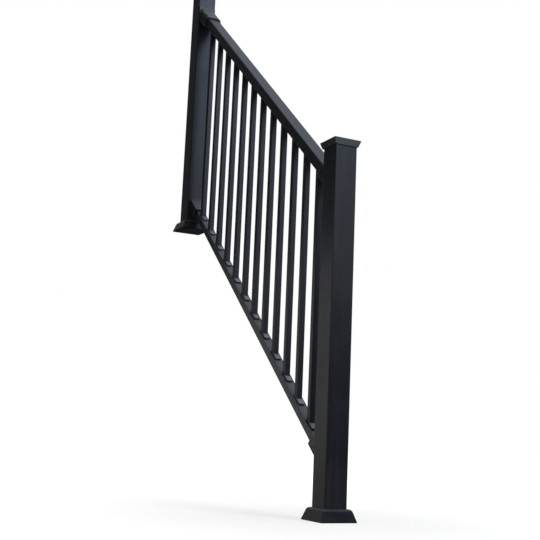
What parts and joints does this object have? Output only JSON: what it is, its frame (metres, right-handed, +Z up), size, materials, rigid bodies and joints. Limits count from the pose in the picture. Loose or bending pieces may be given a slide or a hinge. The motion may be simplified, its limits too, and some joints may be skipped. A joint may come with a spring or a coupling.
{
  "type": "stair railing bay",
  "caption": "Black metal stair railing bay: square posts with flared caps and base covers, sloping top and bottom rails in post sockets, square balusters on angled feet",
  "frame": {"origin": "centre of the underside of the lower post's base plate", "axes": "+X runs level from the lower post to the upper post, up the flight; +Z is up; +Y is to the left when looking up the flight"},
  "size_m": [1.352, 0.12, 2.2415],
  "materials": {
    "powder_coat": "satin black powder coat on extruded aluminium, finely textured",
    "trim_coat": "satin black powder coat on cast aluminium",
    "bracket_coat": "satin black powder coat on cast aluminium brackets",
    "foot_plastic": "matte black moulded plastic",
    "base_plate": "black powder coat on aluminium plate"
  },
  "bodies": {
    "root": {"lower_base_plate": "base_plate", "lower_post": "powder_coat", "lower_base_cover": "trim_coat", "lower_post_cap": "trim_coat", "top_rail_lower_bracket": "bracket_coat", "bottom_rail_lower_bracket": "bracket_coat", "upper_base_plate": "base_plate", "upper_post": "powder_coat", "upper_base_cover": "trim_coat", "upper_post_cap": "trim_coat", "top_rail_upper_bracket": "bracket_coat", "bottom_rail_upper_bracket": "bracket_coat", "top_rail": "powder_coat", "bottom_rail": "powder_coat", "baluster_01": "powder_coat", "baluster_foot_01": "foot_plastic", "baluster_02": "powder_coat", "baluster_foot_02": "foot_plastic", "baluster_03": "powder_coat", "baluster_foot_03": "foot_plastic", "baluster_04": "powder_coat", "baluster_foot_04": "foot_plastic", "baluster_05": "powder_coat", "baluster_foot_05": "foot_plastic", "baluster_06": "powder_coat", "baluster_foot_06": "foot_plastic", "baluster_07": "powder_coat", "baluster_foot_07": "foot_plastic", "baluster_08": "powder_coat", "baluster_foot_08": "foot_plastic", "baluster_09": "powder_coat", "baluster_foot_09": "foot_plastic", "baluster_10": "powder_coat", "baluster_foot_10": "foot_plastic", "baluster_11": "powder_coat", "baluster_foot_11": "foot_plastic", "baluster_12": "powder_coat", "baluster_foot_12": "foot_plastic"}
  },
  "joints": []
}
